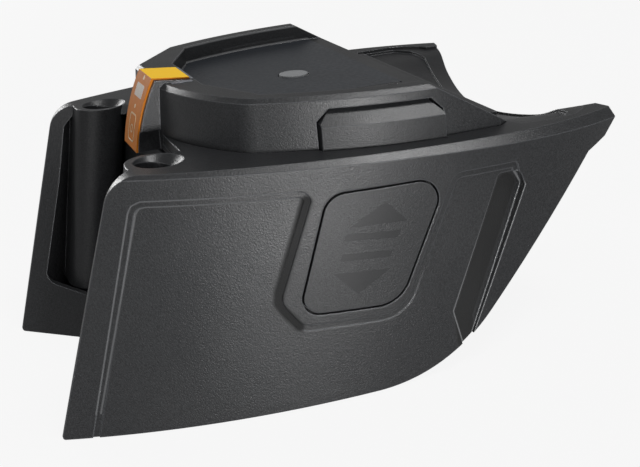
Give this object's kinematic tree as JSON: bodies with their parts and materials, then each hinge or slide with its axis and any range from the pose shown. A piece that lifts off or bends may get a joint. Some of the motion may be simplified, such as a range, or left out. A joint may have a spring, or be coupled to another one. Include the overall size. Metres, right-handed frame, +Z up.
{
  "type": "vacuum cleaner battery",
  "caption": "Battery pack for a vacuum cleaner: two leaning side wings, a raised block with sprung side catches, release buttons, guide sockets and a ribbon of orange film.",
  "frame": {"origin": "centre of the bounding box, on the level that the pack stands on", "axes": "+X from the guide sockets toward the nose, +Y toward the far wing, +Z up"},
  "size_m": [0.162, 0.1318, 0.0821],
  "materials": {
    "charcoal_plastic": "fine spark-eroded grain, satin",
    "latch_plastic": "fine grain, satin",
    "orange_film": "printed film",
    "label_film": "smooth film",
    "vent_membrane": "felt-like membrane",
    "terminal_plastic": "moulded",
    "contact_brass": "sprung sheet",
    "circuit_board": "solder mask",
    "component_black": "moulded",
    "screw_steel": "black zinc",
    "spring_steel": "drawn wire",
    "frame_plastic": "moulded",
    "cell_wrap": "shrink wrap",
    "nickel_strip": "rolled sheet",
    "insulation_card": "fish paper",
    "foam": "closed-cell foam"
  },
  "bodies": {
    "housing": {"blank_label_plate": "label_film", "board_parts": "component_black", "board_screws": "screw_steel", "cell_1": "cell_wrap", "cell_10": "cell_wrap", "cell_2": "cell_wrap", "cell_3": "cell_wrap", "cell_4": "cell_wrap", "cell_5": "cell_wrap", "cell_6": "cell_wrap", "cell_7": "cell_wrap", "cell_8": "cell_wrap", "cell_9": "cell_wrap", "control_board": "circuit_board", "far_bus_strips": "nickel_strip", "far_cell_frame": "frame_plastic", "far_foam_pad": "foam", "far_insulating_sheet": "insulation_card", "far_insulator_rings": "insulation_card", "far_side_cover": "charcoal_plastic", "housing_screws": "screw_steel", "lower_housing": "charcoal_plastic", "near_bus_strips": "nickel_strip", "near_cell_frame": "frame_plastic", "near_foam_pad": "foam", "near_insulating_sheet": "insulation_card", "near_insulator_rings": "insulation_card", "near_side_cover": "charcoal_plastic", "orange_band": "orange_film", "terminal_block": "terminal_plastic", "terminal_clips": "contact_brass", "thermistor": "component_black", "top_cover": "charcoal_plastic", "vent_disc": "vent_membrane", "near_return_spring": "spring_steel", "far_return_spring": "spring_steel"},
    "near_release": {"near_release_button": "latch_plastic", "near_latch_link": "latch_plastic", "near_catch": "latch_plastic"},
    "far_release": {"far_release_button": "latch_plastic", "far_latch_link": "latch_plastic", "far_catch": "latch_plastic"}
  },
  "joints": [
    {"name": "near_press", "type": "slide", "parent": "housing", "child": "near_release", "axis": [0, 1, 0], "range_m": [0, 0.0026], "stiffness_N_per_m": 1500, "springref_m": -0.004, "deforming": ["near_return_spring"]},
    {"name": "far_press", "type": "slide", "parent": "housing", "child": "far_release", "axis": [0, -1, 0], "range_m": [0, 0.0026], "stiffness_N_per_m": 1500, "springref_m": -0.004, "deforming": ["far_return_spring"]}
  ]
}
